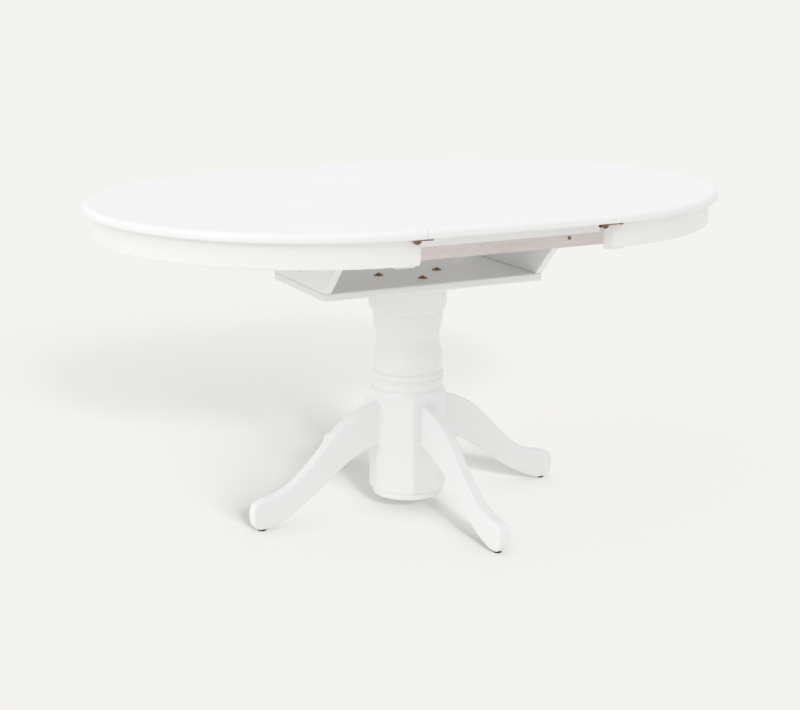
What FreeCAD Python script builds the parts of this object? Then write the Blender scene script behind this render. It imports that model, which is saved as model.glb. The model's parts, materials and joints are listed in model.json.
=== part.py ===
"""Extending pedestal table: two half tops on wooden slides, a folding leaf, and a turned pedestal.

Millimetres, +Z up. The origin is on the floor under the pedestal's centre, +X runs along the
extended top and -Y is the front. The table is drawn open, with the leaf in place.
"""
import FreeCAD, Part
import math
import os
import re

import Sketcher

# ---------------------------------------------------------------- driving dimensions
SIZES = {
    # top
    "table_height": 760,
    "top_radius": 530,
    "top_thickness": 20,
    "rim_top_round": 11,
    "rim_bottom_round": 5,
    "leaf_width": 440,
    "seam_gap": 0.4,
    "fold_gap": 0.2,
    # aprons
    "apron_setback": 20,
    "apron_thickness": 22,
    "apron_height": 55,
    "apron_end_angle": 0.8,
    "end_block_length": 46,
    "end_block_thickness": 14,
    "end_block_height": 62,
    "glue_block_length": 80,
    "glue_block_thickness": 22,
    "glue_block_height": 40,
    "glue_block_angle": 50,
    # fixed rails and the moving slides
    "rail_length": 780,
    "rail_thickness": 22,
    "rail_face": 274,
    "rail_bottom": 647,
    "rail_top_gap": 0.5,
    "groove_height": 10,
    "groove_depth": 8,
    "groove_level": 710,
    "running_gap": 0.4,
    "slide_length": 500,
    "slide_reach": 336,
    "slide_thickness": 22,
    "slide_height": 60,
    "slide_travel": 40,
    "stop_radius": 4,
    "stop_length": 10,
    # storage trough
    "board_length": 556,
    "board_width": 292,
    "board_thickness": 18,
    "board_top": 565,
    "board_edge_round": 4,
    "end_thickness": 18,
    "end_shoulder": 228,
    "end_top": 678,
    # column
    "pedestal_turn": 4,
    "column_bottom": 32,
    "octagon_radius": 93.5,
    "turning_radius": 97,
    "bore_radius": 45,
    "bore_top": 270,
    # legs and glides
    "leg_thickness": 28,
    "leg_edge_round": 5,
    "leg_bolt_low": 195,
    "leg_bolt_high": 238,
    "pad_reach": 389,
    "pad_radius": 9,
    "pad_height": 5,
    # fasteners
    "board_bolt_circle": 76,
    "bolt_radius": 4,
    "bolt_clearance": 0.1,
    "washer_radius": 11,
    "washer_thickness": 1.6,
    "nut_across_flats": 13,
    "nut_height": 6.5,
    "insert_radius": 5.5,
    "insert_length": 25,
    "screw_radius": 2,
    "screw_head_radius": 3.8,
    "screw_head_height": 2.4,
    "screw_clearance": 0.1,
    "hinge_barrel_radius": 7,
    "hinge_barrel_length": 16,
    # leaf locks
    "lock_reach": 517,
    "lock_plate_radius": 6.5,
    "lock_plate_thickness": 0.8,
    "lock_pin_radius": 2,
    "lock_arm_thickness": 1.2,
    "lock_arm_width": 8,
    "lock_tab_radius": 8.5,
    "lock_tab_thickness": 2.5,
    "lock_cap_width": 6,
    "lock_cap_height": 4,
}

doc = FreeCAD.newDocument("extending_pedestal_table")
sheet = doc.addObject("Spreadsheet::Sheet", "Sizes")
for row, (alias, number) in enumerate(SIZES.items(), start=1):
    sheet.set(f"A{row}", alias.replace("_", " "))
    sheet.set(f"B{row}", str(number))
    sheet.setAlias(f"B{row}", alias)
doc.recompute()

NODES = {}


# ---------------------------------------------------------------- helpers
def link(text):
    """The expression with each size's name pointing at its cell."""
    return re.sub(r"[a-z][a-z_]*", lambda m: f"Sizes.{m[0]}" if m[0] in SIZES else m[0], str(text))


def value(text):
    """The number that an expression of sizes stands for."""
    return float(sheet.evalExpression(link(text)))


def keep(label, thing):
    """Make an object a sub-part of its own, under its node's name."""
    thing.Label = label
    NODES[label] = thing
    return thing


def bind(thing, **properties):
    for name, text in properties.items():
        thing.setExpression(name, link(text))


def place(thing, x="0", y="0", z="0"):
    for axis, text in zip("xyz", (x, y, z)):
        thing.setExpression(f"Placement.Base.{axis}", link(text))


def turned(thing, degrees, x=0.0):
    """Place a finished piece turned about the vertical axis, then moved along X."""
    thing.Placement = FreeCAD.Placement(
        FreeCAD.Vector(x, 0, 0), FreeCAD.Rotation(FreeCAD.Vector(0, 0, 1), degrees)
    )
    return thing


def block(name, length, width, height, x, y, z):
    """A box given by its three sizes and its lowest corner."""
    box = doc.addObject("Part::Box", name)
    bind(box, Length=length, Width=width, Height=height)
    place(box, x, y, z)
    return box


AIM = {
    "x": FreeCAD.Rotation(FreeCAD.Vector(0, 1, 0), 90),
    "y": FreeCAD.Rotation(FreeCAD.Vector(1, 0, 0), -90),
    "z": FreeCAD.Rotation(),
}


def rod(name, radius, length, x, y, z, along="z"):
    """A cylinder that starts at a point and runs along one axis."""
    cylinder = doc.addObject("Part::Cylinder", name)
    cylinder.Placement.Rotation = AIM[along]
    bind(cylinder, Radius=radius, Height=length)
    place(cylinder, x, y, z)
    return cylinder


def fuse(name, *pieces):
    joined = doc.addObject("Part::MultiFuse", name)
    joined.Shapes = list(pieces)
    return joined


def group(name, *pieces):
    """Separate solids in one object."""
    together = doc.addObject("Part::Compound", name)
    together.Links = list(pieces)
    return together


def cut(name, base, *tools):
    remainder = doc.addObject("Part::Cut", name)
    remainder.Base = base
    remainder.Tool = tools[0] if len(tools) == 1 else fuse(f"{name}_tools", *tools)
    return remainder


def plane_of(body, role):
    return next(plane for plane in body.Origin.OriginFeatures if plane.Role == role)


def outline(body, role, corners):
    """A closed sketch on one of the body's planes.

    Each corner is (across, up) or (across, up, radius): a radius makes the edge that leaves
    the corner an arc, which bulges to the left of its way for a negative radius.
    """
    sketch = body.newObject("Sketcher::SketchObject", f"{body.Name}_outline")
    sketch.AttachmentSupport = [(plane_of(body, role), "")]
    sketch.MapMode = "FlatFace"
    points = [FreeCAD.Vector(value(c[0]), value(c[1]), 0) for c in corners]
    count = len(corners)
    ends = []
    for index, corner in enumerate(corners):
        start, end = points[index], points[(index + 1) % count]
        if len(corner) == 2:
            edge = sketch.addGeometry(Part.LineSegment(start, end))
            ends.append((edge, 1, 2))
            continue
        radius = value(corner[2])
        chord = end - start
        sagitta = abs(radius) - math.sqrt(max(radius**2 - (chord.Length / 2) ** 2, 0))
        normal = FreeCAD.Vector(chord.y, -chord.x, 0).normalize() * math.copysign(sagitta, radius)
        edge = sketch.addGeometry(Part.Arc(start, (start + end) / 2 + normal, end))
        starts_first = (sketch.getPoint(edge, 1) - start).Length < 1e-6
        ends.append((edge, 1, 2) if starts_first else (edge, 2, 1))
        number = sketch.addConstraint(Sketcher.Constraint("Radius", edge, abs(radius)))
        sketch.setExpression(f"Constraints[{number}]", link(f"abs({corner[2]})"))
    for index, (edge, _, tail) in enumerate(ends):
        following, head, _ = ends[(index + 1) % count]
        sketch.addConstraint(Sketcher.Constraint("Coincident", edge, tail, following, head))
    for index, (edge, head, _) in enumerate(ends):
        for kind, text, number in zip(("DistanceX", "DistanceY"), corners[index], points[index]):
            held = sketch.addConstraint(Sketcher.Constraint(kind, edge, head, number))
            sketch.setExpression(f"Constraints[{held}]", link(text))
    return sketch


def body_of(name):
    return doc.addObject("PartDesign::Body", name)


def padded(name, role, corners, length):
    """A body with one outline, drawn out from its plane."""
    body = body_of(name)
    sketch = outline(body, role, corners)
    pad = body.newObject("PartDesign::Pad", f"{name}_pad")
    pad.Profile = sketch
    bind(pad, Length=length)
    sketch.Visibility = False
    return body


def revolved(name, corners, angle="360"):
    """A body turned about Z from an outline in the XZ plane, evenly to both sides of it."""
    body = body_of(name)
    sketch = outline(body, "XZ_Plane", corners)
    turning = body.newObject("PartDesign::Revolution", f"{name}_turning")
    turning.Profile = sketch
    turning.ReferenceAxis = (sketch, ["V_Axis"])
    turning.Midplane = True
    bind(turning, Angle=angle)
    return body


def fasteners(label, shape, places):
    """Equal fasteners as separate solids in one node; a place is (point, way it goes in)."""
    copies = []
    for point, way in places:
        copy = shape.copy()
        turn = FreeCAD.Rotation(FreeCAD.Vector(0, 0, 1), way)
        copy.Placement = FreeCAD.Placement(point, turn).multiply(shape.Placement)
        copies.append(copy)
    feature = doc.addObject("Part::Feature", label)
    feature.Shape = Part.makeCompound(copies)
    return keep(label, feature)


def screw_shape(length):
    """A pan-head wood screw along +Z: its head's underside at the origin, its point up."""
    head_height = value("screw_head_height")
    head = Part.makeCylinder(value("screw_head_radius"), head_height, spot(0, 0, -head_height))
    point_length = 2 * value("screw_radius")
    shank = Part.makeCylinder(value("screw_radius"), length - point_length)
    point = Part.makeCone(value("screw_radius"), 0.3, point_length, spot(0, 0, length - point_length))
    return head.fuse([shank, point]).removeSplitter()


def spot(x, y, z):
    return FreeCAD.Vector(x, y, z)


UNDERSIDE = "(table_height - top_thickness)"
INNER_APRON = "(top_radius - apron_setback - apron_thickness)"
RAIL_TOP = f"({UNDERSIDE} - rail_top_gap)"
SCREW_HOLE = "(screw_radius + screw_clearance)"
SEAM = value("leaf_width / 2")
PILOT_DEPTH = 12
HALVES = {"right": 0, "left": 180}


# ---------------------------------------------------------------- half tops
def slide_screw_spots():
    """Where a half's slide screws go up into its top: (x, y) before the half is turned."""
    outer = -value("rail_face + running_gap + slide_thickness / 2")
    inner = value("rail_face - rail_thickness - running_gap - slide_thickness / 2")
    return [(x, y) for y in (outer, inner) for x in (SEAM + 25, SEAM + 95)]


def glue_block_middles():
    """The middle of each glue block's back, as (angle, x, y) before the half is turned."""
    half_length = value("glue_block_length / 2")
    reach = math.sqrt(value(INNER_APRON) ** 2 - half_length**2) - value("glue_block_thickness")
    spread = value("glue_block_angle")
    return [
        (angle, SEAM + reach * math.cos(math.radians(angle)), reach * math.sin(math.radians(angle)))
        for angle in (-spread, 0, spread)
    ]


def half_top(side):
    """Half disc with a rounded rim and pilot holes for the screws from below."""
    name = f"top_{side}"
    blank = revolved(
        f"{name}_blank",
        [
            ("0", UNDERSIDE),
            ("top_radius - rim_bottom_round", UNDERSIDE, "rim_bottom_round"),
            ("top_radius", f"{UNDERSIDE} + rim_bottom_round"),
            ("top_radius", "table_height - rim_top_round", "rim_top_round"),
            ("top_radius - rim_top_round", "table_height"),
            ("0", "table_height"),
        ],
        "180",
    )
    blank.Placement.Base.x = SEAM
    depth = str(PILOT_DEPTH)
    holes = [
        rod(f"{name}_pilot{number}", SCREW_HOLE, depth, str(x), str(y), UNDERSIDE)
        for number, (x, y) in enumerate(slide_screw_spots() + block_screw_spots())
    ]
    keep(name, turned(cut(name, blank, *holes), HALVES[side]))


def block_screw_spots():
    """One screw up through each glue block, in the middle of it."""
    half_thickness = value("glue_block_thickness / 2")
    return [
        (
            x + half_thickness * math.cos(math.radians(angle)),
            y + half_thickness * math.sin(math.radians(angle)),
        )
        for angle, x, y in glue_block_middles()
    ]


def apron(side):
    """Bent apron under the rim, open towards the leaf."""
    outer = "top_radius - apron_setback"
    body = revolved(
        f"apron_{side}",
        [
            (INNER_APRON, f"{UNDERSIDE} - apron_height"),
            (outer, f"{UNDERSIDE} - apron_height"),
            (outer, UNDERSIDE),
            (INNER_APRON, UNDERSIDE),
        ],
        "180 - 2 * apron_end_angle",
    )
    keep(f"apron_{side}", turned(body, HALVES[side], SEAM if side == "right" else -SEAM))


def end_blocks(side):
    """A block behind each end of the apron, flush with its end and shaped to its curve."""
    apron_end = value("top_radius - apron_setback") * math.sin(math.radians(value("apron_end_angle")))
    lowest = f"{UNDERSIDE} - end_block_height"
    pair = []
    for where, near in (("front", f"-{INNER_APRON}"), ("back", f"{INNER_APRON} - end_block_thickness")):
        name = f"end_block_{where}_{side}"
        blank = block(
            f"{name}_blank", "end_block_length", "end_block_thickness", "end_block_height",
            str(SEAM + apron_end), near, lowest,
        )
        curve = rod(f"{name}_curve", INNER_APRON, "end_block_height", str(SEAM), "0", lowest)
        shaped = doc.addObject("Part::Common", name)
        shaped.Base = blank
        shaped.Tool = curve
        pair.append(shaped)
    blocks = group(f"apron_end_blocks_{side}", *pair)
    keep(f"apron_end_blocks_{side}", turned(blocks, HALVES[side]))


def glue_blocks(side):
    """Three blocks that hold the apron to the top, each with a screw up through it."""
    blocks = []
    for number, (angle, x, y) in enumerate(glue_block_middles()):
        box = doc.addObject("Part::Box", f"glue_block{number}_{side}")
        bind(box, Length="glue_block_thickness", Width="glue_block_length", Height="glue_block_height")
        half = value("glue_block_length / 2")
        turn = FreeCAD.Rotation(FreeCAD.Vector(0, 0, 1), angle)
        corner = spot(x, y, value(f"{UNDERSIDE} - glue_block_height")) + turn.multVec(spot(0, -half, 0))
        box.Placement = FreeCAD.Placement(corner, turn)
        blocks.append(box)
    lowest = f"{UNDERSIDE} - glue_block_height"
    holes = [
        rod(f"glue_hole{number}_{side}", SCREW_HOLE, "glue_block_height", str(x), str(y), lowest)
        for number, (x, y) in enumerate(block_screw_spots())
    ]
    drilled = cut(f"apron_blocks_{side}", group(f"glue_blocks_{side}", *blocks), *holes)
    keep(f"apron_blocks_{side}", turned(drilled, HALVES[side]))
    head = value(f"{UNDERSIDE} - glue_block_height")
    length = value("glue_block_height") + PILOT_DEPTH - 1
    places = [(spot(x, y, head), 0) for x, y in block_screw_spots()]
    turned(fasteners(f"block_screws_{side}", screw_shape(length), places), HALVES[side])


# ---------------------------------------------------------------- rails and slides
def slide(side, where):
    """A moving slide: a plain bar with a tongue that runs in the fixed rail's groove.

    The outer slide runs on the rail's outer face and the inner one on its inner face, so the
    slides of the two halves pass each other when the table closes.
    """
    name = f"slide_{side}_{where}"
    low = f"{UNDERSIDE} - slide_height"
    tongue_low = "groove_level - groove_height / 2 + running_gap"
    tongue_high = "groove_level + groove_height / 2 - running_gap"
    if where == "outer":
        face, back = "-(rail_face + running_gap)", "-(rail_face + running_gap + slide_thickness)"
        tip = "-(rail_face - groove_depth + running_gap)"
    else:
        face = "rail_face - rail_thickness - running_gap"
        back = "rail_face - rail_thickness - running_gap - slide_thickness"
        tip = "rail_face - rail_thickness + groove_depth - running_gap"
    bar = padded(
        f"{name}_bar",
        "YZ_Plane",
        [
            (back, low),
            (face, low),
            (face, tongue_low),
            (tip, tongue_low),
            (tip, tongue_high),
            (face, tongue_high),
            (face, UNDERSIDE),
            (back, UNDERSIDE),
        ],
        "slide_length",
    )
    bar.Placement.Base.x = value("slide_reach - slide_length")
    sunk = "slide_height / 2"
    spots = [(x, y) for x, y in slide_screw_spots() if (y < 0) == (where == "outer")]
    holes = [
        rod(f"{name}_hole{number}", SCREW_HOLE, "slide_height", str(x), str(y), low)
        for number, (x, y) in enumerate(spots)
    ]
    wells = [
        rod(f"{name}_well{number}", "screw_head_radius + 0.7", sunk, str(x), str(y), low)
        for number, (x, y) in enumerate(spots)
    ]
    keep(name, turned(cut(name, bar, *holes, *wells), HALVES[side]))


def slide_screws(side):
    head = value(f"{UNDERSIDE} - slide_height / 2")
    length = value("slide_height / 2") + PILOT_DEPTH - 1
    places = [(spot(x, y, head), 0) for x, y in slide_screw_spots()]
    turned(fasteners(f"slide_screws_{side}", screw_shape(length), places), HALVES[side])


RAIL_SCREW_X = value("(board_length - end_thickness) / 2")
RAIL_SCREW_Z = value("rail_bottom + 21")
RAIL_SCREW_LENGTH = 44
STOP_X = value("slide_reach + slide_travel + stop_radius + running_gap")
STOP_Z = value("rail_bottom + 52")


def fixed_rail(place_name, facing):
    """A fixed rail with a groove along both faces; facing is the turn that puts it at the front."""
    name = f"rail_{place_name}"
    outer, inner = "-rail_face", "-(rail_face - rail_thickness)"
    low, high = "groove_level - groove_height / 2", "groove_level + groove_height / 2"
    bar = padded(
        f"{name}_bar",
        "YZ_Plane",
        [
            (outer, "rail_bottom"),
            (inner, "rail_bottom"),
            (inner, low),
            ("-(rail_face - rail_thickness) - groove_depth", low),
            ("-(rail_face - rail_thickness) - groove_depth", high),
            (inner, high),
            (inner, RAIL_TOP),
            (outer, RAIL_TOP),
            (outer, high),
            ("-rail_face + groove_depth", high),
            ("-rail_face + groove_depth", low),
            (outer, low),
        ],
        "rail_length",
    )
    bar.Placement.Base.x = value("-rail_length / 2")
    tools = [
        rod(f"{name}_screw_hole{number}", SCREW_HOLE, "rail_thickness", str(x), outer, str(RAIL_SCREW_Z), "y")
        for number, x in enumerate((-RAIL_SCREW_X, RAIL_SCREW_X))
    ]
    tools.append(
        rod(f"{name}_stop_hole", "stop_radius", "stop_length", str(STOP_X), outer, str(STOP_Z), "y")
    )
    keep(name, turned(cut(name, bar, *tools), facing))


def rail_screws():
    face = value("rail_face")
    screw = screw_shape(RAIL_SCREW_LENGTH)
    screw.Placement.Rotation = AIM["y"]
    places = [
        (spot(x, facing * face, RAIL_SCREW_Z), 90 * (1 + facing))
        for x in (-RAIL_SCREW_X, RAIL_SCREW_X)
        for facing in (-1, 1)
    ]
    fasteners("rail_screws", screw, places)


def slide_stops():
    """A stud in each rail's outer face that the slide's end meets when the table is full open."""
    length = value("stop_length")
    proud = value("running_gap + slide_thickness * 0.6")
    stud = Part.makeCylinder(
        value("stop_radius"), length + proud, FreeCAD.Vector(0, -proud, 0), FreeCAD.Vector(0, 1, 0)
    )
    face = value("rail_face")
    fasteners("slide_stops", stud, [(spot(STOP_X, -face, STOP_Z), 0), (spot(-STOP_X, face, STOP_Z), 180)])


# ---------------------------------------------------------------- leaf
LEAF_LENGTH = "leaf_width - 2 * seam_gap"
HINGE_XS = (-150, 0, 150)
HINGE_LEVEL = f"({UNDERSIDE} + top_thickness / 2)"


def leaf_half(place_name, facing):
    """Half of the folding leaf: rounded rim at the front, square at the fold."""
    name = f"leaf_{place_name}"
    edge = "-fold_gap / 2"
    slab = padded(
        f"{name}_slab",
        "YZ_Plane",
        [
            (edge, UNDERSIDE),
            (edge, "table_height"),
            ("-(top_radius - rim_top_round)", "table_height", "-rim_top_round"),
            ("-top_radius", "table_height - rim_top_round"),
            ("-top_radius", f"{UNDERSIDE} + rim_bottom_round", "-rim_bottom_round"),
            ("-(top_radius - rim_bottom_round)", UNDERSIDE),
        ],
        LEAF_LENGTH,
    )
    slab.Placement.Base.x = -value(LEAF_LENGTH) / 2
    sockets = [
        rod(
            f"{name}_socket{number}", "hinge_barrel_radius", "hinge_barrel_length",
            str(x), f"{edge} - hinge_barrel_length", HINGE_LEVEL, "y",
        )
        for number, x in enumerate(HINGE_XS)
    ]
    keep(name, turned(cut(name, slab, *sockets), facing))


def hinge_barrels(place_name, facing):
    """The barrels of the hidden fold hinges, sunk in one half's edge, each slotted for its links."""
    barrels = []
    for number, x in enumerate(HINGE_XS):
        barrel = rod(
            f"barrel{number}_{place_name}", "hinge_barrel_radius", "hinge_barrel_length",
            str(x), "-fold_gap / 2 - hinge_barrel_length", HINGE_LEVEL, "y",
        )
        slot = block(
            f"barrel_slot{number}_{place_name}", "3", "hinge_barrel_length - 3", "2 * hinge_barrel_radius",
            f"{x} - 1.5", "-fold_gap / 2 - hinge_barrel_length + 3",
            f"{HINGE_LEVEL} - hinge_barrel_radius + 3",
        )
        barrels.append(cut(f"slotted_barrel{number}_{place_name}", barrel, slot))
    name = f"fold_hinges_{place_name}"
    keep(name, turned(group(name, *barrels), facing))


# ---------------------------------------------------------------- storage trough
def trough_board():
    """The board on the column, with rounded edges, bolt holes and screw holes."""
    slab = block(
        "board_slab", "board_length", "board_width", "board_thickness",
        "-board_length / 2", "-board_width / 2", "board_top - board_thickness",
    )
    softened = doc.addObject("Part::Fillet", "board_softened")
    softened.Base = slab
    doc.recompute()
    radius = value("board_edge_round")
    softened.Edges = [(number, radius, radius) for number in range(1, 13)]
    holes = [
        rod(
            f"board_bolt_hole{number}", "bolt_radius + bolt_clearance", "board_thickness",
            str(x), str(y), "board_top - board_thickness",
        )
        for number, (x, y) in enumerate(board_bolt_spots())
    ]
    holes += [
        rod(
            f"board_screw_hole{number}", SCREW_HOLE, "board_thickness",
            str(x), str(y), "board_top - board_thickness",
        )
        for number, (x, y) in enumerate(trough_screw_spots())
    ]
    keep("trough_board", cut("trough_board", softened, *holes))


def board_bolt_spots():
    circle = value("board_bolt_circle")
    return [(circle, 0), (0, circle), (-circle, 0), (0, -circle)]


def trough_screw_spots():
    return [(side * RAIL_SCREW_X, y) for side in (-1, 1) for y in (-100, 0, 100)]


def trough_end(place_name, direction):
    """A trapezoid end panel with ears at its top, screwed between the two rails."""
    name = f"trough_end_{place_name}"
    half, ear = "board_width / 2", "rail_face - rail_thickness"
    panel = padded(
        f"{name}_panel",
        "YZ_Plane",
        [
            (f"-{half}", "board_top"),
            (half, "board_top"),
            ("end_shoulder", "rail_bottom"),
            (ear, "rail_bottom"),
            (ear, "end_top"),
            (f"-({ear})", "end_top"),
            (f"-({ear})", "rail_bottom"),
            ("-end_shoulder", "rail_bottom"),
        ],
        "end_thickness",
    )
    panel.Placement.Base.x = direction * RAIL_SCREW_X - value("end_thickness / 2")
    x = str(direction * RAIL_SCREW_X)
    reach = f"{RAIL_SCREW_LENGTH} - rail_thickness + 1"
    holes = [
        rod(f"{name}_front_hole", SCREW_HOLE, reach, x, f"-({ear})", str(RAIL_SCREW_Z), "y"),
        rod(f"{name}_back_hole", SCREW_HOLE, reach, x, f"{ear} - ({reach})", str(RAIL_SCREW_Z), "y"),
    ]
    holes += [
        rod(f"{name}_screw_hole{number}", SCREW_HOLE, "32", x, str(y), "board_top")
        for number, y in enumerate((-100, 0, 100))
    ]
    keep(name, cut(name, panel, *holes))


def trough_screws():
    length = value("board_thickness") + 30
    below = value("board_top - board_thickness")
    fasteners("trough_screws", screw_shape(length), [(spot(x, y, below), 0) for x, y in trough_screw_spots()])


# ---------------------------------------------------------------- column
def column():
    """Turned column: an octagon at its head and foot, turned mouldings between them."""
    turning = revolved(
        "column_turning",
        [
            ("0", "column_bottom"),
            ("80", "column_bottom", "4"),
            ("84", "column_bottom + 4"),
            ("84", "column_bottom + 15"),
            ("82.5", "column_bottom + 16"),
            ("84", "column_bottom + 16", "13"),
            ("turning_radius", "column_bottom + 28"),
            ("turning_radius", "262", "80"),
            ("84", "294"),
            ("82", "294"),
            ("83", "295.5"),
            ("83", "311"),
            ("81.5", "312.5"),
            ("83", "314", "2.2"),
            ("83", "318"),
            ("81", "319.5", "8.5"),
            ("80.5", "334"),
            ("78.4", "335.5", "120"),
            ("77.9", "388", "-80"),
            ("75.5", "430"),
            ("78.2", "432.5"),
            ("79", "444.5"),
            ("80.6", "446"),
            ("82.2", "452"),
            ("82.2", "475"),
            ("81", "477"),
            ("82", "478.5", "34"),
            ("turning_radius", "507"),
            ("turning_radius", "board_top - board_thickness"),
            ("0", "board_top - board_thickness"),
        ],
    )
    prism = doc.addObject("Part::Prism", "column_octagon")
    prism.Polygon = 8
    prism.Placement.Rotation = FreeCAD.Rotation(FreeCAD.Vector(0, 0, 1), 22.5)
    bind(prism, Circumradius="octagon_radius", Height="board_top")
    blank = doc.addObject("Part::Common", "column_blank")
    blank.Base = turning
    blank.Tool = prism
    tools = [rod("column_bore", "bore_radius", "bore_top - column_bottom", "0", "0", "column_bottom")]
    reach = "octagon_radius"
    for number, level in enumerate(("leg_bolt_low", "leg_bolt_high")):
        for along in "xy":
            start = {"x": (f"-{reach}", "0"), "y": ("0", f"-{reach}")}[along]
            tools.append(
                rod(
                    f"column_leg_hole{number}{along}", "bolt_radius + bolt_clearance", f"2 * {reach}",
                    *start, level, along,
                )
            )
    blank_turn = value("pedestal_turn")
    for number, (x, y) in enumerate(board_bolt_spots()):
        turn = FreeCAD.Rotation(FreeCAD.Vector(0, 0, 1), -blank_turn)
        point = turn.multVec(spot(x, y, 0))
        tools.append(
            rod(
                f"column_insert_hole{number}", "insert_radius", "insert_length + 3",
                str(point.x), str(point.y), "board_top - board_thickness - insert_length - 3",
            )
        )
    keep("column", turned(cut("column", blank, *tools), blank_turn))


def board_bolts():
    """Button-head bolts down through the board, their washers, and inserts in the column's head."""
    top = value("board_top")
    radius, head_radius, head_height = value("bolt_radius"), 7.0, 4.6
    washer_top = value("washer_thickness")
    dome_radius = (head_radius**2 + head_height**2) / (2 * head_height)
    dome = Part.makeSphere(dome_radius, spot(0, 0, washer_top + head_height - dome_radius))
    cap = dome.common(Part.makeCylinder(head_radius, head_height, spot(0, 0, washer_top)))
    reach = value("board_thickness + insert_length - 2")
    shank = Part.makeCylinder(radius, reach + washer_top, spot(0, 0, -reach))
    socket = Part.makeBox(4.2, 4.2, 2.4, spot(-2.1, -2.1, washer_top + head_height - 2.4))
    bolt = cap.fuse(shank).cut(socket)
    ring = Part.makeCylinder(value("washer_radius"), washer_top)
    washer = ring.cut(Part.makeCylinder(value("bolt_radius + bolt_clearance"), washer_top))
    sleeve = Part.makeCylinder(value("insert_radius"), value("insert_length"))
    insert = sleeve.cut(Part.makeCylinder(value("bolt_radius + bolt_clearance"), value("insert_length")))
    spots = board_bolt_spots()
    low = value("board_top - board_thickness - insert_length")
    fasteners("board_bolts", bolt, [(spot(x, y, top), 0) for x, y in spots])
    fasteners("board_washers", washer, [(spot(x, y, top), 0) for x, y in spots])
    fasteners("board_inserts", insert, [(spot(x, y, low), 0) for x, y in spots])


# ---------------------------------------------------------------- legs
LEG_ROOT = value("octagon_radius") * math.cos(math.radians(22.5))
LEG_TOP = [
    (LEG_ROOT, 264), (120, 256), (161, 238), (202, 206), (257, 148), (314, 100), (352, 82), (394, 72),
]
LEG_UNDER = [(372, 5), (345, 15), (318, 28), (272, 56), (222, 92), (165, 132), (121, 152), (LEG_ROOT, 163)]
TOE_REACH = 415
TOE_TOP_ROUND = (TOE_REACH, 50)
TOE_BOTTOM_ROUND = (TOE_REACH, 30)
TOE_REST = (398, 5)


def leg_face(offset):
    """The leg's side outline as a face, in the XZ plane."""
    top = Part.BSplineCurve()
    top.interpolate([spot(x, offset, z) for x, z in LEG_TOP])
    under = Part.BSplineCurve()
    under.interpolate([spot(x, offset, z) for x, z in LEG_UNDER])

    def corner(start, middle, end):
        return Part.Arc(*(spot(x, offset, z) for x, z in (start, middle, end)))

    def straight(start, end):
        return Part.LineSegment(spot(start[0], offset, start[1]), spot(end[0], offset, end[1]))

    edges = [
        top,
        corner(LEG_TOP[-1], (408.5, 65), TOE_TOP_ROUND),
        straight(TOE_TOP_ROUND, TOE_BOTTOM_ROUND),
        corner(TOE_BOTTOM_ROUND, (410, 12.5), TOE_REST),
        straight(TOE_REST, LEG_UNDER[0]),
        under,
        straight(LEG_UNDER[-1], LEG_TOP[0]),
    ]
    return Part.Face(Part.Wire(Part.__sortEdges__([edge.toShape() for edge in edges])))


def leg(place_name, direction):
    """A scrolled slab leg with eased edges, drilled for its two bolts and its glide."""
    thickness = value("leg_thickness")
    slab = leg_face(-thickness / 2).extrude(spot(0, thickness, 0))
    eased = [
        edge for edge in slab.Edges
        if abs(abs(edge.BoundBox.YMin) - thickness / 2) < 0.01
        and edge.BoundBox.YLength < 0.01
        and edge.BoundBox.XMax > LEG_ROOT + 1
    ]
    slab = slab.makeFillet(value("leg_edge_round"), eased)
    bolt_hole = value("bolt_radius + bolt_clearance")
    for level in ("leg_bolt_low", "leg_bolt_high"):
        slab = slab.cut(Part.makeCylinder(bolt_hole, 46, spot(LEG_ROOT, 0, value(level)), spot(1, 0, 0)))
    nail_foot = spot(value("pad_reach"), 0, value("pad_height"))
    nail = Part.makeCylinder(GLIDE_NAIL_RADIUS, GLIDE_NAIL_LENGTH, nail_foot)
    feature = doc.addObject("Part::Feature", f"leg_{place_name}")
    feature.Shape = slab.cut(nail)
    keep(f"leg_{place_name}", turned(feature, direction + value("pedestal_turn")))


LEG_DIRECTIONS = {"right": 0, "back": 90, "left": 180, "front": 270}
GLIDE_NAIL_RADIUS = 1.4
GLIDE_NAIL_LENGTH = 14


def around(reach, level):
    """The same place on each of the four legs, with the leg's direction."""
    places = []
    for direction in LEG_DIRECTIONS.values():
        angle = direction + value("pedestal_turn")
        radians = math.radians(angle)
        places.append((spot(reach * math.cos(radians), reach * math.sin(radians), level), angle))
    return places


def leg_fasteners():
    """Two studs to each leg, with a washer and a nut inside the hollow column."""
    wall = value("bore_radius")
    washer_radius, thickness = 9.0, value("washer_thickness")
    seat = math.sqrt(wall**2 - washer_radius**2)
    outward = spot(1, 0, 0)
    inner_end, outer_end = seat - thickness - value("nut_height") - 3, LEG_ROOT + 45
    stud = Part.makeCylinder(value("bolt_radius"), outer_end - inner_end, spot(inner_end, 0, 0), outward)
    hole = Part.makeCylinder(value("bolt_radius + bolt_clearance"), wall, spot(0, 0, 0), outward)
    ring = Part.makeCylinder(washer_radius, thickness, spot(seat - thickness, 0, 0), outward)
    corner = value("nut_across_flats") / math.sqrt(3)
    hexagon = Part.makePolygon(
        [
            spot(seat - thickness - value("nut_height"), corner * math.cos(a), corner * math.sin(a))
            for a in (math.radians(60 * step) for step in range(7))
        ]
    )
    nut = Part.Face(hexagon).extrude(spot(value("nut_height"), 0, 0))
    levels = [value("leg_bolt_low"), value("leg_bolt_high")]
    places = [
        (spot(0, 0, level), direction + value("pedestal_turn"))
        for direction in LEG_DIRECTIONS.values() for level in levels
    ]
    fasteners("leg_studs", stud, places)
    fasteners("leg_washers", ring.cut(hole), places)
    fasteners("leg_nuts", nut.cut(hole), places)


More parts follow.
